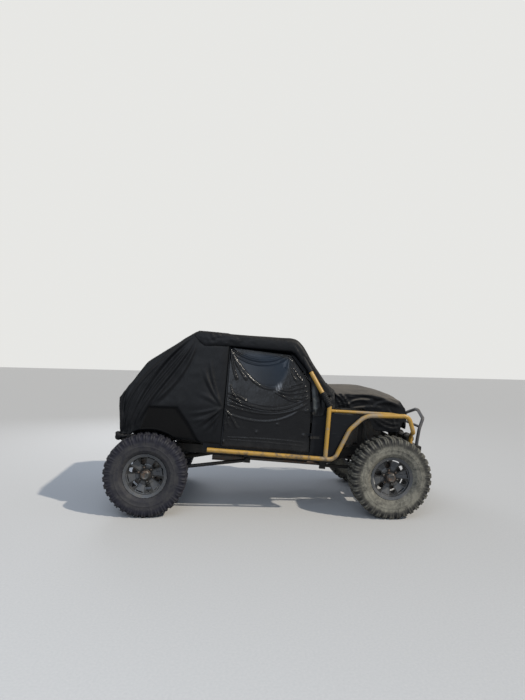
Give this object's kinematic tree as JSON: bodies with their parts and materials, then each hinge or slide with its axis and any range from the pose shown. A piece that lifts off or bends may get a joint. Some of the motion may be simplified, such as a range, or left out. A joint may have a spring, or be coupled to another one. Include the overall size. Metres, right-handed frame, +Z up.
{
  "type": "off-road vehicle",
  "caption": "Compact off-road suv with an outside tube frame, big mud tyres and black covers tied over cab, bed and hood.",
  "frame": {"origin": "on the ground under the middle of the overall length and width", "axes": "+X forward, +Y to the vehicle's left, +Z up"},
  "size_m": [3.5352, 1.78, 1.9015],
  "materials": {
    "tube_paint": "satin",
    "frame_black": "satin",
    "spring_steel": "satin",
    "cast_iron": "matte",
    "body_paint": "satin",
    "glass": "gloss",
    "plastic": "matte",
    "seat_cloth": "matte",
    "cover_cloth": "matte",
    "film": "gloss",
    "lens": "gloss",
    "red_lens": "gloss",
    "exhaust_steel": "satin",
    "tyre": "matte",
    "wheel_steel": "satin",
    "hub_steel": "satin"
  },
  "bodies": {
    "chassis": {"body_tub": "body_paint", "cab_top": "body_paint", "coil_springs": "spring_steel", "dashboard": "plastic", "door_hinges": "frame_black", "driveshafts": "frame_black", "engine_block": "cast_iron", "exhaust": "exhaust_steel", "exo_cage": "tube_paint", "fender_panels": "body_paint", "frame_rails": "frame_black", "front_axle": "frame_black", "front_bumper": "frame_black", "front_hoop": "frame_black", "fuel_tank": "plastic", "gearbox": "cast_iron", "grille_panel": "body_paint", "headlights": "lens", "rear_axle": "frame_black", "rear_bumper": "frame_black", "rear_cover": "cover_cloth", "roof_cover": "cover_cloth", "seats": "seat_cloth", "shock_absorbers": "spring_steel", "side_tubes_left": "tube_paint", "side_tubes_right": "tube_paint", "steering_wheel": "plastic", "suspension_links": "frame_black", "tail_lamps": "red_lens", "winch": "frame_black", "windscreen": "glass"},
    "knuckle_right": {"knuckle_right": "frame_black"},
    "knuckle_left": {"knuckle_left": "frame_black"},
    "tie_rod": {"tie_rod": "frame_black"},
    "wheel_front_right": {"tyre_front_right": "tyre", "rim_front_right": "wheel_steel", "hub_front_right": "hub_steel"},
    "wheel_front_left": {"tyre_front_left": "tyre", "rim_front_left": "wheel_steel", "hub_front_left": "hub_steel"},
    "wheel_rear_right": {"tyre_rear_right": "tyre", "rim_rear_right": "wheel_steel", "hub_rear_right": "hub_steel"},
    "wheel_rear_left": {"tyre_rear_left": "tyre", "rim_rear_left": "wheel_steel", "hub_rear_left": "hub_steel"},
    "door_right": {"door_right": "body_paint", "door_glass_right": "glass", "door_film_right": "film"},
    "door_left": {"door_left": "body_paint", "door_glass_left": "glass", "door_film_left": "film"},
    "hood": {"hood": "body_paint", "hood_cover": "cover_cloth"}
  },
  "joints": [
    {"name": "steer_right", "type": "hinge", "parent": "chassis", "child": "knuckle_right", "pos_m": [1.1925, -0.6, 0.42], "axis": [0, 0, 1], "range_deg": [-28, 28]},
    {"name": "steer_left", "type": "hinge", "parent": "chassis", "child": "knuckle_left", "pos_m": [1.1925, 0.6, 0.42], "axis": [0, 0, 1], "range_deg": [-28, 28]},
    {"name": "tie_rod_pivot", "type": "hinge", "parent": "knuckle_right", "child": "tie_rod", "pos_m": [1.3475, -0.6, 0.4103], "axis": [0, 0, 1], "range_deg": [-28, 28]},
    {"name": "roll_front_right", "type": "hinge", "parent": "knuckle_right", "child": "wheel_front_right", "pos_m": [1.1925, -0.74, 0.42], "axis": [0, 1, 0], "continuous": true},
    {"name": "roll_front_left", "type": "hinge", "parent": "knuckle_left", "child": "wheel_front_left", "pos_m": [1.1925, 0.74, 0.42], "axis": [0, 1, 0], "continuous": true},
    {"name": "roll_rear_right", "type": "hinge", "parent": "chassis", "child": "wheel_rear_right", "pos_m": [-1.3475, -0.74, 0.42], "axis": [0, 1, 0], "continuous": true},
    {"name": "roll_rear_left", "type": "hinge", "parent": "chassis", "child": "wheel_rear_left", "pos_m": [-1.3475, 0.74, 0.42], "axis": [0, 1, 0], "continuous": true},
    {"name": "door_right_hinge", "type": "hinge", "parent": "chassis", "child": "door_right", "pos_m": [0.35584, -0.766, 0.97908], "axis": [0.0645, 0, 0.9979], "range_deg": [0, 65]},
    {"name": "door_left_hinge", "type": "hinge", "parent": "chassis", "child": "door_left", "pos_m": [0.35584, 0.766, 0.97908], "axis": [-0.0645, 0, -0.9979], "range_deg": [0, 65]},
    {"name": "hood_hinge", "type": "hinge", "parent": "chassis", "child": "hood", "pos_m": [0.60452, 0, 1.26062], "axis": [0, -1, 0], "range_deg": [0, 50]}
  ],
  "couplings": [
    {"joint": "steer_left", "follows": "steer_right", "ratio": 1},
    {"joint": "tie_rod_pivot", "follows": "steer_right", "ratio": -1}
  ]
}
